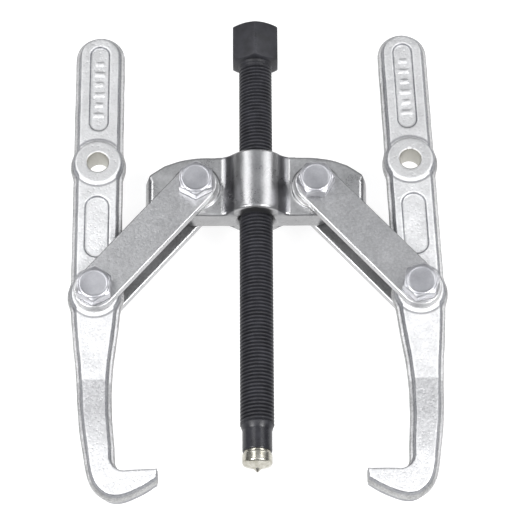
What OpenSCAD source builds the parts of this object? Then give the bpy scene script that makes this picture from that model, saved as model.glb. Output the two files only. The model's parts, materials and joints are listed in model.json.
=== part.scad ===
// Two-jaw gear puller, lying on its back.
// +X right, +Y along the forcing screw towards its hex head, +Z up (bolt heads on top).
// The origin is the bottom centre of the whole tool: z = 0 is the plane that the rear bolt ends rest on.

/* [Forcing screw] */
// Thread diameter
screw_d = 16; // [12:0.5:20]
// Thread pitch, as feed for one turn
screw_pitch = 1.8; // [1:0.1:2.5]
// Screw length from head top to the seat of the tip
screw_len = 221; // [180:1:260]
// Hex head size across flats
screw_head_af = 22; // [19:1:27]
// Hex head height
screw_head_h = 20; // [12:1:26]
// Diameter of the turned-down end
pilot_d = 14.1; // [10:0.1:15]
// Length of the turned-down end
pilot_len = 13.3; // [8:0.1:20]

/* [Swivel tip] */
// Collar diameter of the tip
tip_d = 14.2; // [10:0.1:15]
// Length of the tip from its seat to the cone point
tip_len = 10; // [8:0.1:14]

/* [Hub] */
// Hub height along the screw
hub_h = 30.6; // [24:0.1:36]
// Radius of the barrel's two round faces
barrel_r = 13.6; // [13:0.1:15]
// Depth of the barrel from front to back
barrel_depth = 31.8; // [31:0.1:40]
// Distance from the screw axis to each hub pivot
hub_pivot_x = 28.7; // [26:0.1:34]
// Reach of each lug from the screw axis
lug_reach = 53.2; // [48:0.1:60]

/* [Links] */
// Distance between the two holes of a link
link_len = 72.5; // [60:0.5:90]
// Link width
link_w = 20; // [18:0.5:22]
// Link thickness
link_t = 4.8; // [3:0.1:6]
// Angle of the left links below horizontal, at rest
left_link_angle = 48.9; // [46:0.1:52]
// Angle of the right links below horizontal, at rest
right_link_angle = 47.7; // [46:0.1:52]

/* [Jaws] */
// Thickness of a jaw over its bosses
boss_t = 14.6; // [12:0.1:18]
// Boss radius
boss_r = 12; // [11:0.1:13]
// Width of a jaw's straight arm at its parting line
arm_w = 24; // [20:0.5:26]
// Height of the spare hole above the pivot
spare_hole_y = 68.2; // [60:0.1:80]
// Height of the jaw's top above the pivot
jaw_top_y = 138.4; // [120:0.1:150]
// Depth of the hook's lip below the pivot
lip_y = 88.3; // [80:0.1:100]
// Reach of the lip's tip in from the pivot line
lip_reach = 30.6; // [26:0.1:34]
// Lean of the left jaw's top towards the screw, at rest
left_jaw_lean = 0.1; // [-1:0.1:3]
// Lean of the right jaw's top towards the screw, at rest
right_jaw_lean = 2.4; // [-1:0.1:3]

/* [Pivot bolts] */
// Bolt shank diameter
bolt_d = 10; // [8:0.5:12]
// Bolt head size across flats
bolt_head_af = 16; // [13:1:18]
// Bolt head height
bolt_head_h = 6.4; // [5:0.1:8]
// Nut height
nut_h = 8; // [6:0.1:10]
// Lock washer thickness
washer_t = 2.4; // [1.5:0.1:3]

/* [Hidden] */
$fn = 64;

steel_light = [0.80, 0.81, 0.83];
steel_mid = [0.66, 0.67, 0.69];
steel_bright = [0.86, 0.86, 0.84];
black_oxide = [0.16, 0.16, 0.18];

// Running clearances, on the radius or on a face
pivot_gap = 0.075;
screw_gap = 0.06;
face_gap = 0.08;
edge_chamfer = 0.45;

// Heights over the floor: a bolt end projects a little past its nut
bolt_end = 1.5;
stack_below = boss_t / 2 + face_gap + link_t + washer_t + nut_h + bolt_end;
axis_z = stack_below;
link_z = boss_t / 2 + face_gap;
bolt_seat_z = link_z + link_t;

// Places along the screw: the head's top and the hook's lowest point are equally far from the origin
screw_top_y = 122.6;
screw_end_y = screw_top_y - screw_len;
hub_y = 34;
hub_bottom_y = 19.6;
hub_top_y = hub_bottom_y + hub_h;
hub_pivot_y = hub_y;
lug_bottom_y = 18.6;

// Screw end: a bore holds the tip's stem, a thrust ball and a snap ring
stem_d = 8;
stem_len = 11;
ball_d = 6;
screw_bore_d = stem_d + 0.1;
screw_bore_len = stem_len + ball_d;
ring_in_d = 6.8;
ring_out_d = 9.2;
ring_w = 1.2;
ring_from_seat = 6;
ring_gap = 0.1;
neck_d = 12.6;
neck_len = 1;

hole_d = bolt_d + 2 * pivot_gap;

// Parting-line land of the forgings, and how far the faces are drawn in from it
land_t = 5;
draft_in = 2.2;
arm_t = 13.4;
lug_t = 13;
pocket_depth = 1.2;

// --- Outline helpers -------------------------------------------------------------------------

// Points of an arc about [cx, cy] from angle a0 to a1
function arc(cx, cy, r, a0, a1, n = 12) =
    [for (i = [0:n]) let (a = a0 + (a1 - a0) * i / n) [cx + r * cos(a), cy + r * sin(a)]];

// Catmull-Rom value between p1 and p2
function blend_point(p0, p1, p2, p3, t) =
    0.5 * (2 * p1 + (p2 - p0) * t + (2 * p0 - 5 * p1 + 4 * p2 - p3) * t * t
        + (3 * p1 - p0 - 3 * p2 + p3) * t * t * t);

// Smooth curve through hand-set points, n steps between neighbours, without its last point
function curve(p, n = 5) = [
    for (i = [0:len(p) - 2], k = [0:n - 1])
        blend_point(p[max(i - 1, 0)], p[i], p[i + 1], p[min(i + 2, len(p) - 1)], k / n)
];

// Closed anticlockwise outline of [x, y, share] points, each moved inwards by its share of d
function inset(p, d) = [
    for (i = [0:len(p) - 1])
        let (
            e = p[(i + 1) % len(p)] - p[(i + len(p) - 1) % len(p)],
            n = [-e.y, e.x] / norm([e.x, e.y])
        )
        [p[i].x, p[i].y] + d * p[i].z * n
];

// Points with the share that inset() moves them by
function shared(p, share) = [for (q = p) [q.x, q.y, share]];

// --- Shared shapes ---------------------------------------------------------------------------

module hex_prism(af, h) {
    cylinder(d = af / cos(30), h = h, $fn = 6);
}

// Hexagon with its corners turned off at one end, as on a bolt head
module hex_head(af, h) {
    corner_d = af / cos(30);
    intersection() {
        hex_prism(af, h);
        union() {
            cylinder(d = corner_d + 1, h = h - (corner_d - af) * 0.35);
            translate([0, 0, h - (corner_d - af) * 0.35])
                cylinder(d1 = corner_d, d2 = af * 0.94, h = (corner_d - af) * 0.35);
        }
    }
}

// Hole through a plate from z0 to z1 with both edges broken
module chamfered_hole(d, z0, z1) {
    translate([0, 0, z0 - 1])
        cylinder(d = d, h = z1 - z0 + 2);
    for (side = [0, 1])
        translate([0, 0, side == 0 ? z0 : z1])
            mirror([0, 0, side])
                translate([0, 0, -0.01])
                    cylinder(d1 = d + 2 * edge_chamfer, d2 = d, h = edge_chamfer);
}

// Groove with round ends, cut from z0 to z0 + h
module slot_cut(y0, y1, w, z0, h) {
    translate([0, 0, z0])
        linear_extrude(h)
            union() {
                translate([0, y0 + w / 2])
                    circle(d = w);
                translate([0, y1 - w / 2])
                    circle(d = w);
                translate([-w / 2, y0 + w / 2])
                    square([w, y1 - y0 - w]);
            }
}

// --- Placement -------------------------------------------------------------------------------

// side is -1 for left and 1 for right
function link_angle(side) = side < 0 ? left_link_angle : right_link_angle;
function jaw_lean(side) = side < 0 ? left_jaw_lean : right_jaw_lean;
function jaw_pivot(side) = [
    side * (hub_pivot_x + link_len * cos(link_angle(side))),
    hub_pivot_y - link_len * sin(link_angle(side))
];

module at_hub_pivot(side) {
    translate([side * hub_pivot_x, hub_pivot_y, axis_z])
        children();
}

module at_jaw_pivot(side) {
    translate([jaw_pivot(side).x, jaw_pivot(side).y, axis_z])
        children();
}

// --- Hub -------------------------------------------------------------------------------------

// One lug, from the screw axis to its rounded end
function lug_outline() = concat(
    [[-1, lug_bottom_y], [30, lug_bottom_y]],
    arc(lug_reach - 3.5, 26, 3.5, -60, 0, 4),
    arc(lug_reach - 4, 37.6, 4, 0, 65, 4),
    [[44, 46], [37, 48.5], [28, 50], [16, hub_top_y], [-1, hub_top_y]]
);

// Barrel with the fillets that carry it into the lugs, as seen along the screw
module barrel_section() {
    fillet_r = 4;
    web = lug_t / 2;
    round_z = barrel_depth / 2 - barrel_r;
    fillet_x = sqrt(pow(barrel_r + fillet_r, 2) - pow(web + fillet_r - round_z, 2));
    difference() {
        union() {
            for (side = [-1, 1])
                translate([0, side * round_z])
                    circle(r = barrel_r);
            translate([-fillet_x, -web - fillet_r * 0.6])
                square([2 * fillet_x, 2 * web + fillet_r * 1.2]);
        }
        for (sx = [-1, 1], sz = [-1, 1])
            translate([sx * fillet_x, sz * (web + fillet_r)])
                circle(r = fillet_r);
    }
}

module hub() {
    color(steel_mid)
        translate([0, 0, axis_z])
            difference() {
                union() {
                    translate([0, hub_top_y, 0])
                        rotate([90, 0, 0])
                            linear_extrude(hub_h)
                                barrel_section();
                    for (side = [0, 1])
                        mirror([side, 0, 0]) {
                            translate([0, 0, -lug_t / 2])
                                linear_extrude(lug_t)
                                    polygon(lug_outline());
                            translate([hub_pivot_x, hub_pivot_y, -boss_t / 2])
                                cylinder(r = boss_r - 0.5, h = boss_t);
                        }
                }
                translate([0, lug_bottom_y - 1, 0])
                    rotate([-90, 0, 0])
                        cylinder(r = screw_d / 2 + screw_gap, h = hub_top_y - lug_bottom_y + 2);
                translate([0, lug_bottom_y - 0.01, 0])
                    rotate([-90, 0, 0])
                        cylinder(r1 = screw_d / 2 + 2, r2 = screw_d / 2, h = 2);
                for (side = [-1, 1])
                    translate([side * hub_pivot_x, hub_pivot_y, 0])
                        chamfered_hole(hole_d, -boss_t / 2, boss_t / 2);
            }
}

// --- Forcing screw and its swivel tip --------------------------------------------------------

// Half section of the screw below its head, as [radius, distance from the end]
function screw_section() = let (
    body_from = pilot_len,
    shank_to = screw_len - screw_head_h + 0.01,
    bore_r = screw_bore_d / 2,
    groove_r = ring_out_d / 2 + ring_gap,
    groove_from = ring_from_seat - ring_w / 2 - ring_gap,
    groove_to = ring_from_seat + ring_w / 2 + ring_gap
) [
    [bore_r, 0], [pilot_d / 2 - 0.6, 0], [pilot_d / 2, 0.6], [pilot_d / 2, body_from - 3],
    [screw_d / 2 - 0.9, body_from - 3], [screw_d / 2, body_from],
    [screw_d / 2, shank_to], [0, shank_to], [0, screw_bore_len],
    [bore_r, screw_bore_len], [bore_r, groove_to], [groove_r, groove_to],
    [groove_r, groove_from], [bore_r, groove_from]
];

module forcing_screw() {
    color(black_oxide)
        translate([0, screw_end_y, axis_z])
            rotate([-90, 0, 0]) {
                rotate_extrude()
                    polygon(screw_section());
                translate([0, 0, screw_len - screw_head_h])
                    rotate([0, 0, 90])
                        hex_head(screw_head_af, screw_head_h);
            }
}

// Half section of the tip, as [radius, distance from the seat], nose first
function tip_section() = let (
    nose = -tip_len,
    groove_r = ring_in_d / 2 - ring_gap,
    groove_from = ring_from_seat - ring_w / 2 - ring_gap,
    groove_to = ring_from_seat + ring_w / 2 + ring_gap
) concat(
    [[0, nose], [0.3, nose], [1.6, nose + 1.5], [2.3, nose + 2]],
    [[6.4, nose + 3.5], [tip_d / 2 - 0.1, nose + 4.1], [tip_d / 2, nose + 4.7]],
    [
        [tip_d / 2, -neck_len - 0.5], [tip_d / 2 - 0.4, -neck_len - 0.05],
        [neck_d / 2, -neck_len], [neck_d / 2, -0.1], [stem_d / 2, -0.1],
        [stem_d / 2, groove_from], [groove_r, groove_from], [groove_r, groove_to],
        [stem_d / 2, groove_to], [stem_d / 2, stem_len - 0.5], [stem_d / 2 - 0.5, stem_len],
        [0, stem_len]
    ]
);

module screw_tip() {
    color(steel_bright)
        translate([0, screw_end_y, axis_z])
            rotate([-90, 0, 0])
                rotate_extrude()
                    polygon(tip_section());
}

module thrust_ball() {
    color(steel_bright)
        translate([0, screw_end_y + stem_len + ball_d / 2, axis_z])
            sphere(d = ball_d);
}

// Split ring that keeps the tip's stem in the screw
module tip_retaining_ring() {
    color(steel_mid)
        translate([0, screw_end_y + ring_from_seat, axis_z])
            rotate([-90, 0, 0])
                difference() {
                    translate([0, 0, -ring_w / 2])
                        cylinder(d = ring_out_d, h = ring_w);
                    translate([0, 0, -ring_w])
                        cylinder(d = ring_in_d, h = 2 * ring_w);
                    translate([0, -0.6, -ring_w])
                        cube([ring_out_d, 1.2, 2 * ring_w]);
                }
}

// --- Jaws ------------------------------------------------------------------------------------

// Right-hand jaw about its pivot, anticlockwise from the right of the top. The arm's sides are
// drawn in from the parting line to the faces, the lip not at all and the hook's underside a little.
function jaw_outline() = let (
    hw = arm_w / 2,
    corner_r = 6,
    inner_x = -10.6,
    tip_x = -lip_reach
) concat(
    shared(arc(0, jaw_top_y - hw, hw, 0, 180, 24), 1),
    shared(curve([[-hw, -6], [-10.9, -19], [-8.9, -38], [-8.8, -58], [inner_x, 10 - lip_y]]), 1),
    [
        for (i = [0:6])
            let (p = arc(inner_x - corner_r, corner_r - lip_y, corner_r, 0, -90, 6)[i])
            [p.x, p.y, 1 - i / 6]
    ],
    [[tip_x + 0.3, 0.7 - lip_y, 0]],
    curve([
        [tip_x, -lip_y - 4, 0.2], [-21, -lip_y - 10, 0.2], [-12, -lip_y - 13.2, 0.3],
        [-5, -lip_y - 11.6, 0.5], [1.6, -lip_y - 4, 0.8], [5.5, -73, 1], [7.1, -61, 1],
        [8.6, -40, 1], [10.8, -19, 1], [hw, -4, 1]
    ]),
    [[hw, -4, 1]]
);

module jaw_blank() {
    linear_extrude(land_t, center = true)
        polygon(inset(jaw_outline(), 0));
    linear_extrude(arm_t, center = true)
        polygon(inset(jaw_outline(), draft_in));
    for (y = [0, spare_hole_y])
        translate([0, y, 0]) {
            cylinder(r = boss_r + 1.4, h = land_t, center = true);
            cylinder(r = boss_r, h = boss_t, center = true);
        }
}

module jaw(side) {
    color(steel_light)
        at_jaw_pivot(side)
            mirror([side < 0 ? 1 : 0, 0, 0])
                rotate([0, 0, jaw_lean(side)])
                    difference() {
                        jaw_blank();
                        for (y = [0, spare_hole_y])
                            translate([0, y, 0])
                                chamfered_hole(hole_d, -boss_t / 2, boss_t / 2);
                        for (z0 = [arm_t / 2 - pocket_depth, -arm_t / 2 - 1]) {
                            slot_cut(85, 131.4, 9.8, z0, pocket_depth + 1);
                            slot_cut(18.3, 50.7, 12, z0, pocket_depth + 1);
                        }
                    }
}

module left_jaw() {
    jaw(-1);
}

module right_jaw() {
    jaw(1);
}

// --- Links -----------------------------------------------------------------------------------

// Strap from the hub pivot to the jaw pivot; face is 1 in front of the lugs and -1 behind them
module link(side, face) {
    z0 = face > 0 ? link_z : -link_z - link_t;
    angle = side > 0 ? -link_angle(side) : 180 + link_angle(side);
    color(steel_mid)
        at_hub_pivot(side)
            rotate([0, 0, angle])
                difference() {
                    translate([0, 0, z0])
                        union() {
                            for (x = [0, link_len])
                                translate([x, 0, 0])
                                    cylinder(d = link_w, h = link_t);
                            translate([0, -link_w / 2, 0])
                                cube([link_len, link_w, link_t]);
                        }
                    for (x = [0, link_len])
                        translate([x, 0, 0])
                            chamfered_hole(hole_d, z0, z0 + link_t);
                }
}

module left_front_link() {
    link(-1, 1);
}

module left_rear_link() {
    link(-1, -1);
}

module right_front_link() {
    link(1, 1);
}

module right_rear_link() {
    link(1, -1);
}

// --- Bolts, nuts and lock washers ------------------------------------------------------------

// Hex bolt from the front, with turn as the angle of one corner of its head
module pivot_bolt(turn) {
    bolt_end_z = -stack_below;
    color(steel_mid)
        union() {
            translate([0, 0, bolt_seat_z])
                rotate([0, 0, turn])
                    hex_head(bolt_head_af, bolt_head_h);
            translate([0, 0, bolt_end_z + 1])
                cylinder(d = bolt_d, h = bolt_seat_z - bolt_end_z - 0.9);
            translate([0, 0, bolt_end_z])
                cylinder(d1 = bolt_d - 2, d2 = bolt_d, h = 1);
        }
}

module pivot_nut(turn) {
    color(steel_mid)
        translate([0, 0, -bolt_seat_z - washer_t])
            rotate([180, 0, turn])
                difference() {
                    hex_head(bolt_head_af, nut_h);
                    translate([0, 0, -1])
                        cylinder(d = bolt_d + 0.04, h = nut_h + 2);
                }
}

// Split spring washer, drawn flattened
module lock_washer() {
    color(steel_mid)
        translate([0, 0, -bolt_seat_z - washer_t])
            difference() {
                cylinder(d = bolt_d + 6.4, h = washer_t);
                translate([0, 0, -1])
                    cylinder(d = bolt_d + 0.4, h = washer_t + 2);
                translate([0, 0, washer_t / 2])
                    rotate([0, 30, 0])
                        translate([0, bolt_d / 2 + 2, 0])
                            cube([0.9, 6, washer_t * 4], center = true);
            }
}

module left_hub_bolt() {
    at_hub_pivot(-1)
        pivot_bolt(90);
}

module right_hub_bolt() {
    at_hub_pivot(1)
        pivot_bolt(0);
}

module left_jaw_bolt() {
    at_jaw_pivot(-1)
        pivot_bolt(88);
}

module right_jaw_bolt() {
    at_jaw_pivot(1)
        pivot_bolt(75);
}

module left_hub_nut() {
    at_hub_pivot(-1)
        pivot_nut(14);
}

module right_hub_nut() {
    at_hub_pivot(1)
        pivot_nut(41);
}

module left_jaw_nut() {
    at_jaw_pivot(-1)
        pivot_nut(27);
}

module right_jaw_nut() {
    at_jaw_pivot(1)
        pivot_nut(5);
}

module left_hub_washer() {
    at_hub_pivot(-1)
        lock_washer();
}

module right_hub_washer() {
    at_hub_pivot(1)
        lock_washer();
}

module left_jaw_washer() {
    at_jaw_pivot(-1)
        lock_washer();
}

module right_jaw_washer() {
    at_jaw_pivot(1)
        lock_washer();
}

hub();
forcing_screw();
screw_tip();
thrust_ball();
tip_retaining_ring();
left_jaw();
right_jaw();
left_front_link();
left_rear_link();
right_front_link();
right_rear_link();
left_hub_bolt();
right_hub_bolt();
left_jaw_bolt();
right_jaw_bolt();
left_hub_nut();
right_hub_nut();
left_jaw_nut();
right_jaw_nut();
left_hub_washer();
right_hub_washer();
left_jaw_washer();
right_jaw_washer();
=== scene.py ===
"""Looks of a two-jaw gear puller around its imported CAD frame."""

import json
import math

import bmesh
import bpy
import numpy as np
from mathutils import Matrix, Vector


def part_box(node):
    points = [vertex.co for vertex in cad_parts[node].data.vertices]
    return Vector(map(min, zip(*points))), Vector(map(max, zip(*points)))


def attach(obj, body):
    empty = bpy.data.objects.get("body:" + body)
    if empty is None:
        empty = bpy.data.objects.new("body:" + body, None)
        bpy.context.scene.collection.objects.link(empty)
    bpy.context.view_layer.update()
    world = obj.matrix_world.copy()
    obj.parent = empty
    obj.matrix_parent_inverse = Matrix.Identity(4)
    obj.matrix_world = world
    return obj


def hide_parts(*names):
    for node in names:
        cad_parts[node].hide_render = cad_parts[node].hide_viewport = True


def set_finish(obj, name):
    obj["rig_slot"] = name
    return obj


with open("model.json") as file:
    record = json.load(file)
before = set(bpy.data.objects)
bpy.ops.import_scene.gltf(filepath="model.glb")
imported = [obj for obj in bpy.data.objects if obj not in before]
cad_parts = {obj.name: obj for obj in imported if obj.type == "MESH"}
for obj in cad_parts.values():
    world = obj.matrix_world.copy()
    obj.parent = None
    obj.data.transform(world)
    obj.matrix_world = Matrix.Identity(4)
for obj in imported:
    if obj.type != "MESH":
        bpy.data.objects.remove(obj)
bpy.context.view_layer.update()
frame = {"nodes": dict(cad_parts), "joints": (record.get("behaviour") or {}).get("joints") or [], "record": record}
JOINTS = {j["name"]: j for j in frame["joints"]}
MOUNTS = {m["name"]: m for m in frame["record"]["mounts"]}
MM = 0.001

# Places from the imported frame, in mm
AXIS_Z = JOINTS["screw_turn"]["pos_m"][2] / MM
SCREW_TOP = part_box("forcing_screw")[1].y / MM
SEAT_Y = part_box("forcing_screw")[0].y / MM
HUB_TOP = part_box("hub")[1].y / MM
SIDES = {"left": -1, "right": 1}


def joint_at(name):
    return np.array(JOINTS[name]["pos_m"]) / MM


# --- Signed distances, in mm -----------------------------------------------------------------


def smax(a, b, r):
    """max(a, b) with the edge rounded to radius r."""
    return np.minimum(np.maximum(a, b), -r) + np.hypot(np.maximum(a + r, 0), np.maximum(b + r, 0))


def smin(a, b, r):
    """min(a, b) with the corner filled to radius r."""
    return -smax(-a, -b, r)


def arc(cx, cy, r, a0, a1, n):
    a = np.radians(np.linspace(a0, a1, n + 1))
    return [(cx + r * math.cos(t), cy + r * math.sin(t)) for t in a]


def curve(points, n=6):
    """Catmull-Rom curve through given points, without its last point."""
    p = np.array(points, float)
    out = []
    for i in range(len(p) - 1):
        p0, p1, p2, p3 = p[max(i - 1, 0)], p[i], p[i + 1], p[min(i + 2, len(p) - 1)]
        for t in np.arange(n) / n:
            out.append(0.5 * (2 * p1 + (p2 - p0) * t + (2 * p0 - 5 * p1 + 4 * p2 - p3) * t**2
                              + (3 * p1 - p0 - 3 * p2 + p3) * t**3))
    return [tuple(q) for q in out]


def shared(points, share):
    return [(x, y, share) for x, y in points]


class Outline:
    """Distance to a closed outline of (x, y, share) points, negative inside, read from a fine grid.

    The share of the nearest outline point comes with it.
    """

    def __init__(self, points, step=0.35, margin=4):
        a = np.array(points, float)
        b = np.roll(a, -1, 0)
        self.low = a[:, :2].min(0) - margin
        self.step = step
        self.n = np.ceil((a[:, :2].max(0) + margin - self.low) / step).astype(int) + 1
        gx, gy = np.meshgrid(*[self.low[k] + step * np.arange(self.n[k]) for k in (0, 1)], indexing="ij")
        q = np.stack([gx.ravel(), gy.ravel()], 1)
        best = np.full(len(q), 1e9)
        share = np.zeros(len(q))
        odd = np.zeros(len(q), bool)
        for p0, p1 in zip(a, b):
            d = p1[:2] - p0[:2]
            t = np.clip(((q - p0[:2]) @ d) / (d @ d), 0, 1)
            dist = np.hypot(q[:, 0] - p0[0] - t * d[0], q[:, 1] - p0[1] - t * d[1])
            near = dist < best
            best[near] = dist[near]
            share[near] = (p0[2] + t * (p1[2] - p0[2]))[near]
            spans = (p0[1] > q[:, 1]) != (p1[1] > q[:, 1])
            if p0[1] != p1[1]:
                odd ^= spans & (q[:, 0] < p0[0] + (q[:, 1] - p0[1]) * d[0] / d[1])
        self.values = np.stack([np.where(odd, -best, best), share], -1).reshape(*self.n, 2)

    def __call__(self, x, y):
        u = np.stack([x, y], 1)
        u = np.clip((u - self.low) / self.step, 0, self.n - 1.001)
        i = u.astype(int)
        f = u - i
        v = self.values
        a = v[i[:, 0], i[:, 1]] * (1 - f[:, :1]) + v[i[:, 0] + 1, i[:, 1]] * f[:, :1]
        b = v[i[:, 0], i[:, 1] + 1] * (1 - f[:, :1]) + v[i[:, 0] + 1, i[:, 1] + 1] * f[:, :1]
        out = a * (1 - f[:, 1:]) + b * f[:, 1:]
        return out[:, 0], out[:, 1]


def slopes(field, p, h=0.02):
    """Unit gradient of a field at points p."""
    g = np.stack([field(p + h * e) - field(p - h * e) for e in np.eye(3)], 1)
    return g / np.maximum(np.linalg.norm(g, axis=1, keepdims=True), 1e-9)


def contour(field, low, high, cell):
    """Vertices and quads of the surface field = 0.

    Each cell has one vertex, where the surface's tangent planes meet best, so edges stay sharp.
    """
    low, cell = np.array(low, float), np.ones(3) * cell
    n = np.ceil((np.array(high) - low) / cell).astype(int) + 1
    grid = np.stack(np.meshgrid(*[low[k] + cell[k] * np.arange(n[k]) for k in range(3)], indexing="ij"), -1)
    value = field(grid.reshape(-1, 3)).reshape(n)
    strides = np.array([n[1] * n[2], n[2], 1])
    quads, cells, points = [], [], []
    for k in range(3):
        e = np.eye(3, dtype=int)[k]
        v0 = value[tuple(slice(0, n[j] - e[j]) for j in range(3))]
        v1 = value[tuple(slice(e[j], n[j]) for j in range(3))]
        at = np.argwhere((v0 < 0) != (v1 < 0))
        a = v0[tuple(at.T)]
        b = v1[tuple(at.T)]
        lo, hi = np.zeros(len(at)), np.ones(len(at))
        p0 = low + at * cell
        t = a / (a - b)
        for _ in range(4):  # regula falsi with a bisection guard
            v = field(p0 + (t * cell[k])[:, None] * e)
            left = (v < 0) == (a < 0)
            lo, hi = np.where(left, t, lo), np.where(left, hi, t)
            a, b = np.where(left, v, a), np.where(left, b, v)
            s = a / np.where(a == b, 1, a - b)
            t = lo + (hi - lo) * np.clip(s, 0.1, 0.9)
        p = p0 + (t * cell[k])[:, None] * e
        o = [np.eye(3, dtype=int)[(k + 1) % 3], np.eye(3, dtype=int)[(k + 2) % 3]]
        ring = [at - o[0] - o[1], at - o[1], at, at - o[0]]
        ids = np.stack([r @ strides for r in ring], 1)
        flip = value[tuple(at.T)] >= 0
        quads.append(np.where(flip[:, None], ids[:, ::-1], ids))
        cells.append(ids.reshape(-1))
        points.append(np.repeat(p, 4, 0))
    cells, points = np.concatenate(cells), np.concatenate(points)
    normals = slopes(field, points)
    used, index = np.unique(cells, return_inverse=True)
    count = np.bincount(index).astype(float)[:, None]
    mean = np.stack([np.bincount(index, points[:, k]) for k in range(3)], 1) / count
    plane = (normals * (points - mean[index])).sum(1)
    ata = np.zeros((len(used), 3, 3))
    atb = np.zeros((len(used), 3))
    for i in range(3):
        atb[:, i] = np.bincount(index, normals[:, i] * plane)
        for j in range(3):
            ata[:, i, j] = np.bincount(index, normals[:, i] * normals[:, j])
    ata += 0.06 * np.eye(3)
    shift = np.linalg.solve(ata, atb[:, :, None])[:, :, 0]
    corner = low + np.stack([used // strides[0], used // strides[1] % n[1], used % n[2]], 1) * cell
    verts = np.clip(mean + shift, corner, corner + cell)
    lookup = np.searchsorted(used, np.concatenate(quads))
    return verts, lookup


def mesh_piece(name, verts, faces, matrix, sharp=None):
    """A mesh object from mm coordinates, placed by a 4x4 matrix in mm.

    Edges that turn by more than sharp degrees stay crisp.
    """
    v = np.array(verts, float) @ matrix[:3, :3].T + matrix[:3, 3]
    if isinstance(faces, np.ndarray):
        faces = faces.tolist()
    if np.linalg.det(matrix[:3, :3]) < 0:
        faces = [f[::-1] for f in faces]
    mesh = bpy.data.meshes.new(name)
    mesh.from_pydata((v * MM).tolist(), [], faces)
    mesh.validate()
    mesh.polygons.foreach_set("use_smooth", [True] * len(mesh.polygons))
    if sharp is not None:
        mesh.set_sharp_from_angle(angle=math.radians(sharp))
    mesh.update()
    ob = bpy.data.objects.new(name, mesh)
    bpy.context.scene.collection.objects.link(ob)
    return ob


# --- Ring-built parts: bolts, nuts, screw, tip ------------------------------------------------

SEGMENTS = 96


def angles(n=SEGMENTS):
    return np.arange(n) * 2 * np.pi / n


def rings(stack, close_low=True, close_high=True):
    """Vertices and faces through (radius, height) rings; either may be an array around the ring."""
    t = angles()
    verts = []
    for r, z in stack:
        r, z = np.broadcast_to(r, t.shape), np.broadcast_to(z, t.shape)
        verts += np.stack([r * np.cos(t), r * np.sin(t), z], 1).tolist()
    n = len(t)
    faces = []
    for k in range(len(stack) - 1):
        for i in range(n):
            j = (i + 1) % n
            faces.append([k * n + i, k * n + j, (k + 1) * n + j, (k + 1) * n + i])
    for ring, closed, up in ((0, close_low, False), (len(stack) - 1, close_high, True)):
        if closed:
            centre = len(verts)
            verts.append([0, 0, float(np.mean(stack[ring][1]))])
            for i in range(n):
                a, b = ring * n + i, ring * n + (i + 1) % n
                faces.append([a, b, centre] if up else [b, a, centre])
    return verts, faces


def joined(parts):
    """One vertex and face list from several."""
    verts, faces = [], []
    for v, f in parts:
        base = len(verts)
        verts += [list(q) for q in v]
        faces += [[i + base for i in face] for face in f]
    return verts, faces


def moved(part, dz=0, turn=0, flip=False):
    v, f = part
    v = np.array(v, float)
    if flip:
        v = v * [1, -1, -1]
    c, s = math.cos(math.radians(turn)), math.sin(math.radians(turn))
    v = v @ np.array([[c, -s, 0], [s, c, 0], [0, 0, 1]]).T + [0, 0, dz]
    return v.tolist(), f


def hexagon(af, corner_r):
    """Radius around a hexagon with corners at 0, 60, ... degrees, rounded to corner_r."""
    from_corner = np.abs((angles() + np.pi / 6) % (np.pi / 3) - np.pi / 6)
    flat = af / 2 / np.cos(np.pi / 6 - from_corner)
    c = (af / 2 - corner_r) / math.cos(np.pi / 6)
    rounded = c * np.cos(from_corner) + np.sqrt(np.maximum(corner_r**2 - (c * np.sin(from_corner)) ** 2, 0))
    tangent = np.pi / 6 - math.atan((af / 2 - corner_r) * math.tan(np.pi / 6) / (af / 2))
    return np.where(from_corner < tangent, np.minimum(flat, rounded), flat)


def hex_body(af, height, disc_r, slope, corner_r=0.35, low_disc_r=None, collar=0.0, crown=0.0):
    """Hexagonal head or nut from z = 0 up, with a conical chamfer from disc_r outwards.

    low_disc_r adds a chamfer below, collar a washer face, and crown a rounded rim about a flat top.
    """
    r = hexagon(af, corner_r)
    rim = 0.5 if crown else 0
    drop = rim + np.maximum(r - disc_r, 0) * math.tan(math.radians(slope))
    low = np.zeros_like(r)
    if low_disc_r:
        low = np.maximum(r - low_disc_r, 0) * math.tan(math.radians(slope))
    stack = []
    if collar:
        stack += [(af / 2 - 0.7, 0.0), (af / 2 - 0.45, 0.08)]
        stack += [(af / 2 - 0.45, collar), (r - 0.3, collar)]
    elif low_disc_r:
        stack += [(low_disc_r, 0.0), (r - 0.12, low - 0.02)]
    else:
        stack += [(r - 0.3, 0.0)]
    edge = height - drop
    flat = height - rim
    stack += [(r, collar + low + 0.16), (r, edge - 0.22), (r - 0.06, edge - 0.09), (r - 0.2, edge + 0.04)]
    stack += [(disc_r + 0.25, flat - 0.08), (disc_r - 0.1, flat)]
    if crown:
        for a in np.radians((20, 40, 60, 80, 90)):
            stack.append((crown + (disc_r - 0.2 - crown) * math.cos(a), height - rim * (1 - math.sin(a))))
        stack += [(crown - 0.25, height - 0.12), (crown - 0.6, height - 0.14)]
    return stack


THREAD_DEPTH, RUN_OUT = 0.6134, 0.8  # both as shares of the pitch
THREAD_FORM = [(0.0, 0.0), (0.36, 0.0), (0.52, 0.5), (0.64, 1.0), (0.72, 1.0), (0.84, 0.5)]


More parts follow.
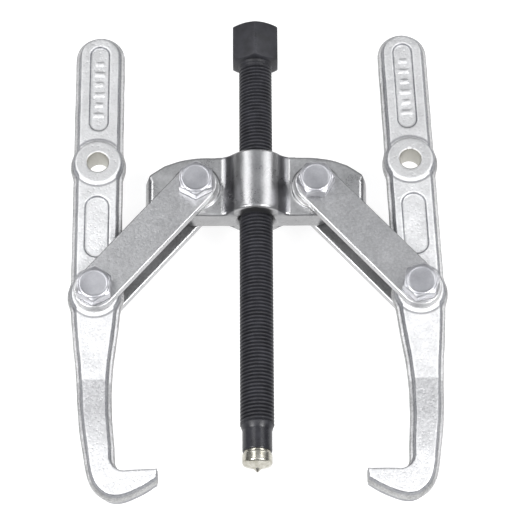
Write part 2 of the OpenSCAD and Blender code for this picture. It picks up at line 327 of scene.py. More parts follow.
def thread(d, pitch, y0, y1):
    """Helical outside thread from y0 to y1 along z, right-hand, running out at both ends."""
    t = angles()
    n = len(t)
    rows = len(THREAD_FORM)
    turns = int(math.ceil((y1 - y0) / pitch)) + 2
    verts = []
    for k in range(turns * rows + 1):
        at, cut = THREAD_FORM[k % rows]
        y = y0 + (k // rows - 1 + at) * pitch + pitch * t / (2 * np.pi)
        keep = np.clip(np.minimum(y - y0, y1 - y) / (RUN_OUT * pitch), 0, 1)
        r = d / 2 - THREAD_DEPTH * pitch * cut * keep
        y = np.clip(y, y0, y1)
        verts += np.stack([r * np.cos(t), r * np.sin(t), y], 1).tolist()
    faces = []
    for k in range(turns * rows):
        for i in range(n - 1):
            faces.append([k * n + i, k * n + i + 1, (k + 1) * n + i + 1, (k + 1) * n + i])
        if k + rows + 1 <= turns * rows:
            faces.append([k * n + n - 1, (k + rows) * n, (k + rows + 1) * n, (k + 1) * n + n - 1])
    return verts, faces


def clean(ob):
    """Joins doubled points and drops faces of no area."""
    gap = 0.0005 * MM
    bm = bmesh.new()
    bm.from_mesh(ob.data)
    bmesh.ops.remove_doubles(bm, verts=bm.verts, dist=gap)
    bmesh.ops.dissolve_degenerate(bm, edges=bm.edges, dist=gap)
    loose = [v for v in bm.verts if not v.link_faces]
    bmesh.ops.delete(bm, geom=loose, context="VERTS")
    bm.to_mesh(ob.data)
    bm.free()
    return ob


def place(x=0, y=0, z=0, turn=0, mirror=1):
    """Matrix: turn about z, mirror in x, then move, in mm."""
    c, s = math.cos(math.radians(turn)), math.sin(math.radians(turn))
    m = np.eye(4)
    m[:2, :2] = np.diag([mirror, 1]) @ np.array([[c, -s], [s, c]])
    m[:3, 3] = [x, y, z]
    return m


def along_screw(y):
    """Matrix that stands local z up along +Y of the frame, on the screw's axis."""
    m = np.eye(4)
    m[:3, :3] = [[1, 0, 0], [0, 0, 1], [0, -1, 0]]
    m[:3, 3] = [0, y, AXIS_Z]
    return m


# --- Forged jaws and hub ---------------------------------------------------------------------


def wobble(p, size):
    """Slight unevenness of a forged surface, within about +-size."""
    x, y, z = p.T
    return size / 3 * (np.sin(0.61 * x + 1.3 * np.sin(0.31 * y) + 0.4) + np.sin(0.47 * y - 0.38 * x + 2.1)
                       + np.sin(0.83 * z + 0.29 * y + 0.21 * x + 4.4))


# Jaw about its pivot, in mm: the arm runs up +y and the hook points to -x
ARM_W, ARM_T, LAND_T, DRAFT = 24, 13.4, 5, 2.2
BOSS_R, BOSS_T, BORE_R = 12, 14.6, 5.075
JAW_TOP, LIP_Y, LIP_X, SPARE_Y = 138.4, 88.3, -30.6, 68.2
POCKETS = ((85, 131.4, 9.8), (18.3, 50.7, 12))  # low end, high end, width
POCKET_DEPTH = 1.15
RIB_COUNT, RIB_START, RIB_STEP = 6, 94, 5.6
RIB_HALF_W, RIB_HALF_H, RIB_BELOW_FACE = 2.4, 1.0, 0.78


def jaw_outline():
    hw, inner = ARM_W / 2, -10.6
    corner = arc(inner - 6, 6 - LIP_Y, 6, 0, -90, 6)
    return (shared(arc(0, JAW_TOP - hw, hw, 0, 180, 32), 1)
            + shared(curve([(-hw, -6), (-10.9, -19), (-8.9, -38), (-8.8, -58), (inner, 10 - LIP_Y)]), 1)
            + [(x, y, 1 - i / 6) for i, (x, y) in enumerate(corner)]
            + [(LIP_X + 0.3, 0.7 - LIP_Y, 0)]
            + curve([(LIP_X, -LIP_Y - 4, 0.2), (-21, -LIP_Y - 10, 0.2), (-12, -LIP_Y - 13.2, 0.3),
                     (-5, -LIP_Y - 11.6, 0.5), (1.6, -LIP_Y - 4, 0.8), (5.5, -73, 1), (7.1, -61, 1),
                     (8.6, -40, 1), (10.8, -19, 1), (hw, -4, 1)])
            + [(hw, -4, 1)])


def slot(x, y, y0, y1, w):
    """Distance to a slot along y with round ends."""
    return np.hypot(x, y - np.clip(y, y0 + w / 2, y1 - w / 2)) - w / 2


def bar(x, y, cx, cy, hx, hy):
    """Distance to a rectangle about (cx, cy) with half sizes hx and hy."""
    dx, dy = np.abs(x - cx) - hx, np.abs(y - cy) - hy
    return np.hypot(np.maximum(dx, 0), np.maximum(dy, 0)) + np.minimum(np.maximum(dx, dy), 0)


def jaw_field(outline):
    """Forged jaw: drafted core, parting-line land, two bosses, pockets, ribs and bores."""
    face, boss_face = ARM_T / 2, BOSS_T / 2

    def field(p):
        x, y, z = p.T
        az = np.abs(z)
        d, share = outline(x, y)
        rough = wobble(p, 0.07)
        land = smax(d + 0.1 * az + 0.02 + rough, az - LAND_T / 2 + 0.25 * (d + 1) + rough, 0.7)
        wall = (d + DRAFT * share + 0.16 * share * (az - 4)) * 0.98 + rough
        core = smax(wall, az - face + 0.02 + rough * 0.6, 1.0)
        body = smin(land, core, 0.9)
        for cy in (0, SPARE_Y):
            r = np.hypot(x, y - cy)
            ring = smax(r - BOSS_R - 1.4 + 0.1 * az, az - LAND_T / 2, 0.7)
            boss = smax(r - BOSS_R + 0.1 * (az - 3.5), az - boss_face + 0.02, 0.8)
            boss = smax(boss, (r - BOSS_R + az - boss_face + 1.3) * 0.707, 0.4)
            body = smin(smin(body, ring, 0.8), boss, 0.6)
        for y0, y1, w in POCKETS:
            cut = smax(slot(x, y, y0, y1, w) + 0.55 * (face - az), face - POCKET_DEPTH - az + rough, 0.5)
            body = smax(body, -cut, 0.45)
        for k in range(RIB_COUNT):  # plain ribs, every second one a little narrower
            half_w = RIB_HALF_W - 0.5 * (k % 2)
            rib = bar(x, y, 0, RIB_START + RIB_STEP * k, half_w, RIB_HALF_H)
            body = smin(body, smax(rib, az - face + RIB_BELOW_FACE, 0.6), 0.5)
        for cy in (0, SPARE_Y):
            r = np.hypot(x, y - cy)
            body = smax(body, BORE_R - r + np.maximum(az - boss_face + 0.5, 0), 0.12)
        return body

    return field


def build_jaws():
    field = jaw_field(Outline(jaw_outline()))
    verts, faces = contour(field, (LIP_X - 1.2, -104, -8.1), (15, JAW_TOP + 1.2, 8.1), 0.6)
    jaws = {}
    for side, s in SIDES.items():
        pivot = joint_at(side + "_jaw_tilt")
        spare = np.array(MOUNTS[side + "_spare_bore"]["pos_m"]) / MM
        lean = math.degrees(math.atan2(-s * (spare - pivot)[0], (spare - pivot)[1]))
        jaw = mesh_piece(side + "_jaw_forging", verts, faces, place(*pivot, turn=lean, mirror=s))
        jaws[side] = jaw
        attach(jaw, side + "_jaw")
        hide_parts(side + "_jaw")
        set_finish(jaw, "forged_zinc")
    return jaws


# Hub about the screw's axis, in mm
LUG_BOTTOM, LUG_T, LUG_REACH, LUG_DRAFT = 18.6, 13, 53.2, 2.5
BARREL_BOTTOM, BARREL_R, BARREL_Z = 19.6, 13.6, 2.3
SCREW_BORE_R = 8.06


def lug_outline():
    right = ([(30, LUG_BOTTOM, 0.2)] + shared(arc(LUG_REACH - 3.5, 26, 3.5, -60, 0, 5), 1)
             + [(x, y, 1 - i / 5) for i, (x, y) in enumerate(arc(LUG_REACH - 4, 37.6, 4, 0, 65, 5))]
             + curve([(44, 46, 0), (37, 48.5, 0), (28, 50, 0), (16, HUB_TOP, 0)]) + [(16, HUB_TOP, 0)])
    return right + [(-x, y, s) for x, y, s in reversed(right)]


def barrel_outline():
    """Section of the barrel across the screw, the same in all four quarters.

    A round front runs into concave walls that meet the lugs at a crease.
    """
    edge_x, foot_x, web, hollow_r = 10.5, 15.9, LUG_T / 2, 12
    turn = math.degrees(math.acos(edge_x / BARREL_R))
    front = arc(0, BARREL_Z, BARREL_R, turn, 90, 14)
    a, b = np.array(front[0]), np.array([foot_x, web])
    half = np.linalg.norm(b - a) / 2
    out = np.array([a[1] - b[1], b[0] - a[0]]) / (2 * half)
    c = (a + b) / 2 + out * math.sqrt(hollow_r**2 - half**2)
    a0, a1 = (math.degrees(math.atan2(*(q - c)[::-1])) for q in (b, a))
    wall = arc(c[0], c[1], hollow_r, a0 % 360, a1 % 360, 8)
    quarter = [(foot_x + 3, web - 0.6), (foot_x + 0.1, web - 0.6)] + wall[:-1] + front
    top = quarter + [(-x, z) for x, z in reversed(quarter[:-1])]
    return shared(top + [(-x, -z) for x, z in top], 1)


def build_hub():
    outline = Outline(lug_outline())
    section = Outline(barrel_outline(), step=0.2)
    pivot_x, pivot_y, _ = joint_at("right_link_swing")

    def field(p):
        x, y, z = p.T
        ax, az = np.abs(x), np.abs(z)
        d, share = outline(x, y)
        rough = wobble(p, 0.06)
        draw = LUG_DRAFT * share * (az / (LUG_T / 2)) ** 1.6
        lug = smax((d + draw + 0.05) * 0.95 + rough, az - LUG_T / 2 + 0.03 + rough * 0.5, 1.3)
        tube = section(x, z)[0] + 0.03
        tube = smax(tube + rough * 0.5, BARREL_BOTTOM - y + 0.02, 1.4)
        tube = smax(tube, y - HUB_TOP + 0.02 + rough * 0.5, 0.8)
        body = smin(lug, tube, 0.8)
        body = smax(body, y - HUB_TOP + 0.02, 0.3)
        r = np.hypot(ax - pivot_x, y - pivot_y)
        boss = smax(r - BOSS_R + 0.5 + 0.1 * (az - LUG_T / 2), az - BOSS_T / 2 + 0.02, 0.5)
        body = smin(body, boss, 0.6)
        body = smax(body, BORE_R - r + np.maximum(az - BOSS_T / 2 + 0.5, 0), 0.12)
        q = np.hypot(x, z)
        bore = SCREW_BORE_R - q + np.maximum(BARREL_BOTTOM + 1.2 - y, 0) + np.maximum(y - HUB_TOP + 0.8, 0)
        return smax(body, bore, 0.15)

    verts, faces = contour(field, (-54.2, 17.6, -17.4), (54.2, HUB_TOP + 0.9, 17.4), 0.6)
    hub = mesh_piece("hub_forging", verts, faces, place(0, 0, AXIS_Z))
    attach(hub, "frame")
    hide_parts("hub")
    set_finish(hub, "hub_zinc")
    return hub


# --- Links, bolts, nuts and washers ----------------------------------------------------------

LINK_W, LINK_T, FACE_GAP = 20, 4.8, 0.08
LINK_Z = BOSS_T / 2 + FACE_GAP
HEAD_AF, HEAD_H, NUT_H, WASHER_T = 16, 6.4, 8, 2.4
BOLT_D, BOLT_PITCH, BOLT_THREAD = 10, 1.5, 14


def build_links():
    out = []
    for side, s in SIDES.items():
        hub_pin, jaw_pin = joint_at(side + "_link_swing"), joint_at(side + "_jaw_tilt")
        along = (jaw_pin - hub_pin)[:2]
        length = float(np.hypot(*along))

        def field(p):
            x, y, z = p.T
            edge = np.hypot(x - np.clip(x, 0, length), y) - LINK_W / 2
            az = np.abs(z)
            sheared = 0.03 * (z / (LINK_T / 2))
            body = smax(edge + 0.02 + sheared + wobble(p, 0.02), az - LINK_T / 2 + 0.01, 0.55)
            for cx in (0, length):
                r = np.hypot(x - cx, y)
                body = smax(body, BORE_R - r + np.maximum(az - LINK_T / 2 + 0.45, 0), 0.1)
            return body

        verts, faces = contour(field, (-10.8, -10.8, -2.8), (length + 10.8, 10.8, 2.8), (0.7, 0.7, 0.4))
        turn = math.degrees(math.atan2(along[1], along[0]))
        turned_over = np.diag([1, -1, -1])
        for level, f in (("front", 1), ("rear", -1)):
            z = AXIS_Z + f * (LINK_Z + LINK_T / 2)
            m = place(hub_pin[0], hub_pin[1], z, turn)
            if f < 0:
                m[:3, :3] = m[:3, :3] @ turned_over
            link = mesh_piece(f"{side}_{level}_strap", verts, faces, m)
            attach(link, side + "_links")
            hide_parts(f"{side}_{level}_link")
            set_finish(link, "strap_zinc")
            out.append(link)
    return out


def bolt_mesh():
    """Hex bolt about its seat: head above z = 0, shank and threaded end below."""
    head = rings(hex_body(HEAD_AF, HEAD_H, 7.6, 30, corner_r=0.6, collar=0.35, crown=6.3))
    end = -(2 * (LINK_Z + LINK_T) + WASHER_T + NUT_H + 1.5)
    threaded = end + BOLT_THREAD
    shank = rings([(4.2, end), (4.35, end + 0.02), (4.6, end + 0.5), (4.6, threaded)], close_high=False)
    body = rings([(4.6, threaded - 0.1), (5.0, threaded + 0.5), (5.0, -0.5), (5.3, -0.02), (5.3, 0.1)])
    spiral = thread(BOLT_D - 0.02, BOLT_PITCH, end + 0.25, threaded)
    return joined([head, shank, body, spiral])


def nut_mesh():
    """Nut from z = 0, its seat, up."""
    outer = hex_body(HEAD_AF, NUT_H, 7.3, 30, corner_r=0.4, low_disc_r=7.5)
    bore = [(5.9, NUT_H - 0.02), (5.02, NUT_H - 0.85), (5.02, 0.8), (5.9, 0.0)]
    return rings([(5.9, 0.0)] + outer + bore, close_low=False, close_high=False)


def washer_mesh():
    """Split spring washer from z = 0 up, its cut slanted."""
    n = 120
    gap = math.radians(7)
    t = np.linspace(gap / 2, 2 * np.pi - gap / 2, n)
    half = [(5.25, 0.15), (5.4, 0.02), (8.0, 0.02), (8.15, 0.2)]
    section = half + [(8.15, 2.2), (8.0, 2.38), (5.4, 2.38), (5.25, 2.25)]
    verts = []
    for a in t:
        for r, z in section:
            b = a + 0.1 * (z - WASHER_T / 2) * math.exp(-min(a, 2 * np.pi - a) * 6)
            verts.append([r * math.cos(b), r * math.sin(b), z])
    m = len(section)
    faces = [[k * m + i, (k + 1) * m + i, (k + 1) * m + (i + 1) % m, k * m + (i + 1) % m]
             for k in range(n - 1) for i in range(m)]
    return verts, faces + [list(range(m))[::-1], [(n - 1) * m + i for i in range(m)]]


# Angles in degrees
SHARP = 30
HEAD_TURNS = {"left_hub": 90, "right_hub": 0, "left_jaw": 88, "right_jaw": 75}
NUT_TURNS = {"left_hub": 14, "right_hub": 41, "left_jaw": 27, "right_jaw": 5}


def build_fasteners():
    bolt, nut, washer = bolt_mesh(), nut_mesh(), washer_mesh()
    out = []
    for side in SIDES:
        ends = (("hub", "_link_swing", "frame"), ("jaw", "_jaw_tilt", side + "_jaw_pin"))
        for where, joint, body in ends:
            x, y, z = joint_at(side + joint)
            seat = LINK_Z + LINK_T
            key = f"{side}_{where}"
            low = z - seat - WASHER_T
            turn = NUT_TURNS[key]
            kinds = [
                ("bolt", bolt, place(x, y, z + seat, HEAD_TURNS[key]), "fastener_zinc"),
                ("nut", moved(nut, flip=True), place(x, y, low, turn), "fastener_zinc"),
                ("washer", washer, place(x, y, low, 40 + turn), "spring_steel"),
            ]
            for kind, (v, f), m, slot_name in kinds:
                ob = mesh_piece(f"{key}_{kind}_detail", v, f, m, SHARP)
                if kind == "bolt":
                    clean(ob)
                    ob.data.set_sharp_from_angle(angle=math.radians(SHARP))
                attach(ob, body)
                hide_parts(f"{key}_{kind}")
                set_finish(ob, slot_name)
                out.append(ob)
    return out


# --- Forcing screw and swivel tip ------------------------------------------------------------


SCREW_D, SCREW_PITCH = 16, 1.8
SCREW_HEAD_AF, SCREW_HEAD_H = 22, 20
TIP_NOSE = -10
TURNED_SHARP = 34  # degrees


def build_screw():
    """Forcing screw from its seat on the tip, z = 0, up, and the swivel tip below it."""
    under = SCREW_TOP - SEAT_Y - SCREW_HEAD_H
    head = rings(hex_body(SCREW_HEAD_AF, SCREW_HEAD_H, 9.6, 24, corner_r=0.8, low_disc_r=10.2))
    head = moved(head, dz=under, turn=90)
    neck = rings([(7.2, under - 2.6), (7.95, under - 1.6), (7.95, under - 0.9), (8.6, under + 0.05),
                  (8.6, under + 0.3)], close_low=False)
    pilot = rings([(4.05, 3.0), (4.05, 0.3), (4.3, 0.0), (6.5, 0.0), (6.88, 0.15), (7.03, 0.6),
                   (7.03, 0.9), (7.03, 9.7), (7.03, 10.0), (7.06, 10.3), (7.15, 10.5), (7.9, 13.3),
                   (6.6, 13.6)], close_low=False, close_high=False)
    spiral = thread(SCREW_D, SCREW_PITCH, 13.0, under - 2.0)
    core = rings([(6.6, 13.2), (6.6, under - 2.2)], close_low=False, close_high=False)
    v, f = joined([head, neck, pilot, spiral, core])
    screw = clean(mesh_piece("forcing_screw_detail", v, f, along_screw(SEAT_Y)))
    screw.data.set_sharp_from_angle(angle=math.radians(TURNED_SHARP))
    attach(screw, "screw")
    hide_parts("forcing_screw")
    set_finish(screw, "black_oxide")

    point = [(0.2, 0.02), (0.4, 0.15), (1.45, 1.4), (1.8, 1.72), (2.4, 2.05), (4.4, 2.8), (6.1, 3.42)]
    shoulder = [(6.6, 3.68), (6.92, 4.05), (7.07, 4.5), (7.1, 4.8), (7.1, 5.1)]
    neck = [(7.1, -2.0), (7.1, -1.75), (7.02, -1.4), (6.7, -1.1), (6.3, -1.0), (6.25, -0.5), (6.25, -0.12)]
    stem = [(4.0, -0.1), (4.0, 5.3), (3.3, 5.3), (3.3, 6.7), (4.0, 6.7), (4.0, 10.5), (3.5, 11.0)]
    v, f = rings([(r, TIP_NOSE + z) for r, z in point + shoulder] + neck + stem)
    tip = mesh_piece("swivel_tip_detail", v, f, along_screw(SEAT_Y), TURNED_SHARP)
    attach(tip, "tip")
    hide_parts("screw_tip")
    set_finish(tip, "bright_steel")
    return screw, tip


# --- Materials -------------------------------------------------------------------------------


class Nodes:
    """Short way to write a node material.

    add() makes a node. A socket that is given a node, or (node, output), is linked to it.
    """

    def __init__(self, name):
        self.material = bpy.data.materials.new(name)
        self.material.use_nodes = True
        self.tree = self.material.node_tree
        self.tree.nodes.clear()
        self.coords = (self.add("ShaderNodeTexCoord"), "Object")

    def add(self, kind, settings=None, **sockets):
        node = self.tree.nodes.new(kind)
        for key, value in (settings or {}).items():
            setattr(node, key, value)
        for key, value in sockets.items():
            key = key.replace("_", " ")
            socket = node.inputs[int(key[1:])] if key[0] == "i" and key[1:].isdigit() else node.inputs[key]
            self.put(socket, value)
        return node

    def put(self, socket, value):
        if isinstance(value, bpy.types.Node):
            self.tree.links.new(value.outputs[0], socket)
        elif isinstance(value, tuple) and value and isinstance(value[0], bpy.types.Node):
            self.tree.links.new(value[0].outputs[value[1]], socket)
        else:
            socket.default_value = value

    def noise(self, scale, detail=3.0, rough=0.55):
        return self.add("ShaderNodeTexNoise", Vector=self.coords, Scale=scale, Detail=detail,
                        Roughness=rough)

    def span(self, value, low, high, to_low, to_high, ease="LINEAR"):
        return self.add("ShaderNodeMapRange", {"interpolation_type": ease}, Value=value, i1=low, i2=high,
                        i3=to_low, i4=to_high)

    def math(self, op, a, b=0.0):
        return self.add("ShaderNodeMath", {"operation": op}, i0=a, i1=b)

    def mix(self, factor, a, b):
        node = self.add("ShaderNodeMix", {"data_type": "RGBA"})
        for index, value in ((0, factor), (6, a), (7, b)):
            self.put(node.inputs[index], value)
        return (node, 2)

    def bump(self, height, strength, distance, under=None):
        node = self.add("ShaderNodeBump", Height=height, Strength=strength, Distance=distance)
        if under is not None:
            self.put(node.inputs["Normal"], under)
        return node

    def component(self, vector, axis):
        """One component of a vector."""
        return (self.add("ShaderNodeSeparateXYZ", Vector=vector), axis)

    def facing(self):
        """How far the surface faces along the object's z, from 0 to 1."""
        return self.math("ABSOLUTE", self.component((self.coords[0], "Normal"), "Z"))

    def off_middle(self):
        """Height above or below the middle plane of the tool, in metres."""
        return self.math("ABSOLUTE", self.math("SUBTRACT", self.component(self.coords, "Z"), AXIS_Z * MM))

    def curvature(self):
        """Pointiness: over 0.5 on ridges and under it in corners."""
        return (self.add("ShaderNodeNewGeometry"), "Pointiness")

    def finish(self, **sockets):
        shader = self.add("ShaderNodeBsdfPrincipled", **sockets)
        out = self.add("ShaderNodeOutputMaterial")
        self.tree.links.new(shader.outputs[0], out.inputs[0])
        return self.material


def grey(v, blue=0.0):
    """A grey colour, with a little more blue."""
    return (v, v, v + blue, 1.0)


def plated_steel(name, dark, light, rough, grain, metallic=1.0, pits=0.5, blotch=0.5, blue=0.005, shade=None):
    """Zinc plate over steel: blotchy tone, fine grain and small pits, and lighter convex edges, partly from
    rubbing and partly a painted highlight.

    shade(n, colour, tone) may change the colour by place.
    """
    n = Nodes(name)
    broad = n.noise(95, 2.0)
    fine = n.noise(900, 4.0, 0.7)
    tone = n.math("ADD", n.math("MULTIPLY", broad, blotch), n.math("MULTIPLY", fine, 1.0 - blotch))
    colour = n.mix(n.span(tone, 0.32, 0.68, 0.0, 1.0), grey(dark, blue), grey(light, blue))
    # Convex edges lightened: partly rubbed plate, partly a painted highlight where edges catch the light.
    edge_wear_and_highlight = n.span(n.curvature(), 0.51, 0.58, 0.0, 0.6)
    colour = n.mix(edge_wear_and_highlight, colour, grey(min(light * 1.08, 0.97), blue))
    if shade:
        colour = shade(n, colour, tone)
    spots = n.add("ShaderNodeTexVoronoi", Vector=n.coords, Scale=620.0)
    pit = n.span((spots, "Distance"), 0.0, 0.38, 0.0, 1.0)
    roughness = n.span(tone, 0.3, 0.7, rough - 0.06, rough + 0.08)
    relief = n.bump(n.noise(260, 3.0, 0.6), 0.35 * grain, 0.0009)
    relief = n.bump(fine, 0.6 * grain, 0.00035, relief)
    relief = n.bump(pit, pits * grain, 0.00025, relief)
    return n.finish(Base_Color=colour, Metallic=metallic, Roughness=roughness, Normal=relief)


# Where the tone and the painted shade change on a jaw and on the hub, each from one place to another, in metres
LAND_EDGE = (0.0026, 0.0034)
PATCH_TOP, PATCH_FADE = (-0.0650, -0.0640), (-0.112, -0.076)
UPPER_ARM = (0.0, 0.06)
BORE_WALL, BOSS_FACE = (0.0054, 0.0058), (0.0098, 0.0104)
BOSS_FOOT_SHADE_IN, BOSS_FOOT_SHADE_OUT = (0.0117, 0.0122), (0.0126, 0.0133)
LUG_FLAT = (0.0155, 0.0165)
HOLLOW_SHADE_IN, HOLLOW_SHADE_OUT, HOLLOW_SHADE_RISE = (0.0102, 0.0108), (0.0150, 0.0158), (0.0062, 0.0072)


def forged_shade(n, colour, tone):
    """Darker drafted walls, partly duller plate and partly painted shade; painted shade in corners and round each
    boss foot; mottled land; and a grey lower-arm patch.
    """
    blot = n.span(tone, 0.38, 0.62, 0.0, 1.0)
    along = n.component(n.coords, "Y")
    # Wall tone: partly duller as-forged plate, partly painted shade on the walls.
    wall = n.mix(blot, (0.22, 0.225, 0.245, 1), (0.42, 0.425, 0.44, 1))
    land = n.mix(blot, grey(0.3), grey(0.62))
    wall = n.mix(n.span(n.off_middle(), *LAND_EDGE, 1.0, 0.0), wall, land)
    grainy = n.noise(520, 3.0, 0.8)
    start = n.span(along, *PATCH_TOP, 1.0, 0.0)
    patch = n.math("MULTIPLY", start, n.span(along, *PATCH_FADE, 0.0, 1.0, "SMOOTHSTEP"))
    patch = n.math("MULTIPLY", patch, n.span(grainy, 0.36, 0.6, 1.0, 0.5))
    colour = n.mix(patch, colour, grey(0.42, 0.01))
    colour = n.mix(n.span(along, *UPPER_ARM, 0.0, 0.4), colour, grey(0.5))
    flattened = n.add("ShaderNodeVectorMath", {"operation": "MULTIPLY"}, i0=n.coords, i1=(1.0, 1.0, 0.0))
    for side in SIDES:
        for x, y, _ in (MOUNTS[side + "_spare_bore"]["pos_m"], JOINTS[side + "_jaw_tilt"]["pos_m"]):
            gap = n.add("ShaderNodeVectorMath", {"operation": "DISTANCE"}, i0=flattened, i1=(x, y, 0.0))
            reach = (gap, "Value")
            wall = n.mix(n.span(reach, *BORE_WALL, 1.0, 0.0), wall, (0.56, 0.55, 0.51, 1))
            colour = n.mix(n.span(reach, *BOSS_FACE, 0.35, 0.0), colour, grey(0.45))
            # Dark ring round each boss foot: painted shade in the fillet.
            rise = n.span(reach, *BOSS_FOOT_SHADE_IN, 0.0, 0.75)
            fall = n.span(reach, *BOSS_FOOT_SHADE_OUT, 1.0, 0.0)
            colour = n.mix(n.math("MULTIPLY", rise, fall), colour, grey(0.24, 0.015))
    # Surfaces turned away from the object's z take the wall tone: painted shade by surface direction, partly
    # duller plate.
    colour = n.mix(n.span(n.facing(), 0.7, 0.95, 0.0, 1.0), wall, colour)
    # Painted shade: concave corners darkened.
    crease = n.span(n.curvature(), 0.43, 0.49, 0.85, 0.0)
    return n.mix(crease, colour, grey(0.22, 0.01))


def forged_zinc():
    return plated_steel("forged_zinc", 0.64, 0.92, 0.5, 0.6, metallic=0.9, pits=0.8, blotch=0.35,
                        shade=forged_shade)


def hub_shade(n, colour, tone):
    """Even grey on the flat lug faces, dark painted shade in the hollows beside the barrel, and painted shade
    darkening the corners.
    """
    away = n.math("ABSOLUTE", n.component(n.coords, "X"))
    level = n.span(n.facing(), 0.9, 0.98, 0.0, 1.0)
    flat = n.math("MULTIPLY", level, n.span(away, *LUG_FLAT, 0.0, 1.0))
    light = n.mix(n.span(tone, 0.38, 0.62, 0.0, 1.0), grey(0.42), grey(0.62))
    colour = n.mix(flat, colour, light)
    # Dark hollows beside the barrel: painted shade on the concave walls.
    rise = n.span(away, *HOLLOW_SHADE_IN, 0.0, 1.0)
    fall = n.span(away, *HOLLOW_SHADE_OUT, 1.0, 0.0)
    hollow_shade = n.math("MULTIPLY", rise, fall)
    hollow_shade = n.math("MULTIPLY", hollow_shade, n.span(n.off_middle(), *HOLLOW_SHADE_RISE, 0.0, 0.8))
    colour = n.mix(hollow_shade, colour, grey(0.14, 0.01))
    # Painted shade: concave corners darkened.
    crease = n.span(n.curvature(), 0.42, 0.49, 0.8, 0.0)
    return n.mix(crease, colour, grey(0.1, 0.01))


def hub_zinc():
    return plated_steel("hub_zinc", 0.30, 0.46, 0.3, 0.11, pits=0.3, blotch=0.5, shade=hub_shade)


def strap_zinc():
    return plated_steel("strap_zinc", 0.42, 0.60, 0.36, 0.3, pits=0.5, blotch=0.2)


def fastener_zinc():
    return plated_steel("fastener_zinc", 0.45, 0.60, 0.36, 0.12, pits=0.2, blotch=0.6, blue=0.025)


def spring_steel():
    return plated_steel("spring_steel", 0.40, 0.55, 0.4, 0.3, pits=0.3)


def bright_steel():
    """Bare turned steel with a warm cast."""
    n = Nodes("bright_steel")
    swirl = n.noise(420, 3.0)
    colour = n.mix(n.span(swirl, 0.35, 0.65, 0.0, 1.0), (0.36, 0.345, 0.29, 1), (0.56, 0.545, 0.49, 1))
    relief = n.bump(n.noise(700, 2.0), 0.015, 0.0001)
    rough = n.span(swirl, 0.3, 0.7, 0.2, 0.3)
    return n.finish(Base_Color=colour, Metallic=1.0, Roughness=rough, Normal=relief)


def black_oxide():
    """Blackened steel, smoother on the turned end below the thread, worn on edges."""
    n = Nodes("black_oxide")
    film = n.noise(180, 4.0, 0.6)
    fine = n.noise(1300, 3.0)
    colour = n.mix(n.span(film, 0.35, 0.65, 0.0, 1.0), (0.016, 0.016, 0.019, 1), (0.028, 0.028, 0.034, 1))
    worn = n.span(n.curvature(), 0.54, 0.62, 0.0, 0.2)
    thread_start = ((SEAT_Y + 10) * MM, (SEAT_Y + 13) * MM)
    turned = n.span(n.component(n.coords, "Y"), *thread_start, 1.0, 0.0)
    colour = n.mix(n.math("MULTIPLY", worn, n.span(fine, 0.45, 0.6, 0.0, 1.0)), colour, (0.16, 0.16, 0.18, 1))
    relief = n.bump(fine, 0.06, 0.0002)
    rough = n.math("SUBTRACT", n.span(film, 0.3, 0.7, 0.44, 0.54), n.math("MULTIPLY", turned, 0.2))
    return n.finish(Base_Color=colour, Roughness=rough, Specular_IOR_Level=0.35, Normal=relief)


# --- Floor, lights and camera ----------------------------------------------------------------


FLOOR_HALF, FLOOR_Z = 6.0, -0.0002  # metres; just under the rear bolt ends
FLOOR_GLOW = 0.82


def build_stage():
    mesh = bpy.data.meshes.new("floor")
    half, level = FLOOR_HALF, FLOOR_Z
    corners = [(-half, -half, level), (half, -half, level), (half, half, level), (-half, half, level)]
    mesh.from_pydata(corners, [], [(0, 1, 2, 3)])
    floor = bpy.data.objects.new("floor", mesh)
    bpy.context.scene.collection.objects.link(floor)
    n = Nodes("floor_white")
    tone = n.mix(n.span(n.noise(6, 2.0), 0.3, 0.7, 0.0, 1.0), grey(0.3), grey(0.32))
    white = n.finish(Base_Color=tone, Roughness=0.9, Emission_Color=grey(1.0), Emission_Strength=FLOOR_GLOW)
    mesh.materials.append(white)


LIGHT_DISTANCE = 1.3  # metres
# name: direction, width and height in metres, watts
LIGHTS = {
    "key_left": ((-0.55, -0.35, 0.76), 0.5, 0.5, 11),
    "key_right": ((0.55, -0.35, 0.76), 0.5, 0.5, 11),
    "strip_left": ((-0.51, 0.4, 0.76), 0.25, 0.9, 3),
    "strip_right": ((0.65, 0.4, 0.65), 0.25, 0.9, 3),
}


def area_light(name, towards, width, height, power):
    """Softbox facing the middle of the tool from the direction given."""
    aim = Vector((0, 0.01, AXIS_Z * MM))
    light = bpy.data.lights.new(name, "AREA")
    light.shape = "RECTANGLE"
    light.size = width
    light.size_y = height
    light.energy = power
    ob = bpy.data.objects.new(name, light)
    direction = Vector(towards).normalized()
    ob.location = aim + direction * LIGHT_DISTANCE
    ob.rotation_euler = direction.to_track_quat("Z", "Y").to_euler()
    bpy.context.scene.collection.objects.link(ob)


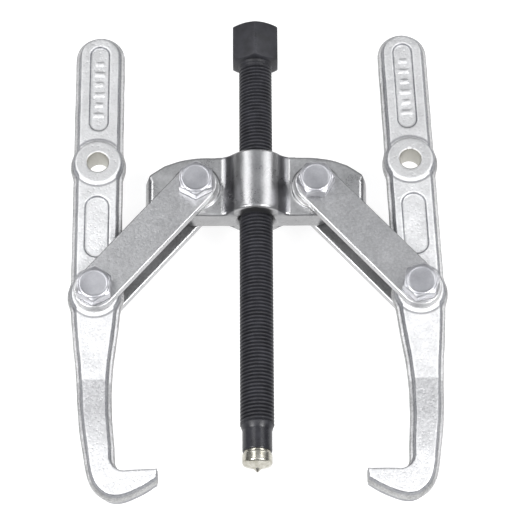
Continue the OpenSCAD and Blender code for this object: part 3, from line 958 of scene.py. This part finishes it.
def build_lights():
    for name, (towards, width, height, power) in LIGHTS.items():
        area_light(name, towards, width, height, power)
    world = bpy.data.worlds.new("studio")
    world.use_nodes = True
    tree = world.node_tree
    height = tree.nodes.new("ShaderNodeSeparateXYZ")
    tree.links.new(tree.nodes.new("ShaderNodeTexCoord").outputs["Generated"], height.inputs[0])
    ramp = tree.nodes.new("ShaderNodeValToRGB")
    low, high = ramp.color_ramp.elements
    low.position, low.color = 0.1, (0.12, 0.12, 0.125, 1)
    high.position, high.color = 0.85, (0.52, 0.53, 0.55, 1)
    tree.links.new(height.outputs["Z"], ramp.inputs[0])
    tree.links.new(ramp.outputs[0], tree.nodes["Background"].inputs[0])
    bpy.context.scene.world = world


CAMERA_TILT, CAMERA_ROLL = 23.5, 0.31  # degrees
CAMERA_DISTANCE = 1.322  # metres
CAMERA_LENS = 193.35  # mm, on a sensor 36 mm wide


def build_camera():
    """Camera tilted from straight above towards the tip end, aimed at the middle of the tool."""
    tilt = math.radians(CAMERA_TILT)
    roll = math.radians(CAMERA_ROLL)
    back = Vector((0, -math.sin(tilt), math.cos(tilt)))
    up = Vector((0, math.cos(tilt), math.sin(tilt)))
    right = Vector((1, 0, 0))
    x = right * math.cos(roll) - up * math.sin(roll)
    y = right * math.sin(roll) + up * math.cos(roll)
    camera = bpy.data.cameras.new("camera")
    camera.sensor_width = 36
    camera.lens = CAMERA_LENS
    camera.clip_end = 50
    camera.shift_x = 0.0023
    ob = bpy.data.objects.new("camera", camera)
    at = Vector((0, 0, AXIS_Z * MM)) + back * CAMERA_DISTANCE
    ob.matrix_world = Matrix([(x[k], y[k], back[k], at[k]) for k in range(3)] + [(0, 0, 0, 1)])
    bpy.context.scene.collection.objects.link(ob)
    bpy.context.scene.camera = ob


build_camera()
build_lights()
build_stage()
pieces = list(build_jaws().values()) + [build_hub()] + build_links() + build_fasteners()
pieces += build_screw()

makers = (forged_zinc, hub_zinc, strap_zinc, fastener_zinc, spring_steel, bright_steel, black_oxide)
made = {make.__name__: make() for make in makers}
for piece in pieces:
    piece.data.materials.clear()
    piece.data.materials.append(made[piece["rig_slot"]])
for sub in frame["record"]["subparts"]:
    node = frame["nodes"][sub["node"]]
    if not node.material_slots:
        node.data.materials.append(None)
    for material_slot in node.material_slots:
        material_slot.material = made[sub["material_slot"]]

bpy.context.scene.view_settings.view_transform = "Standard"
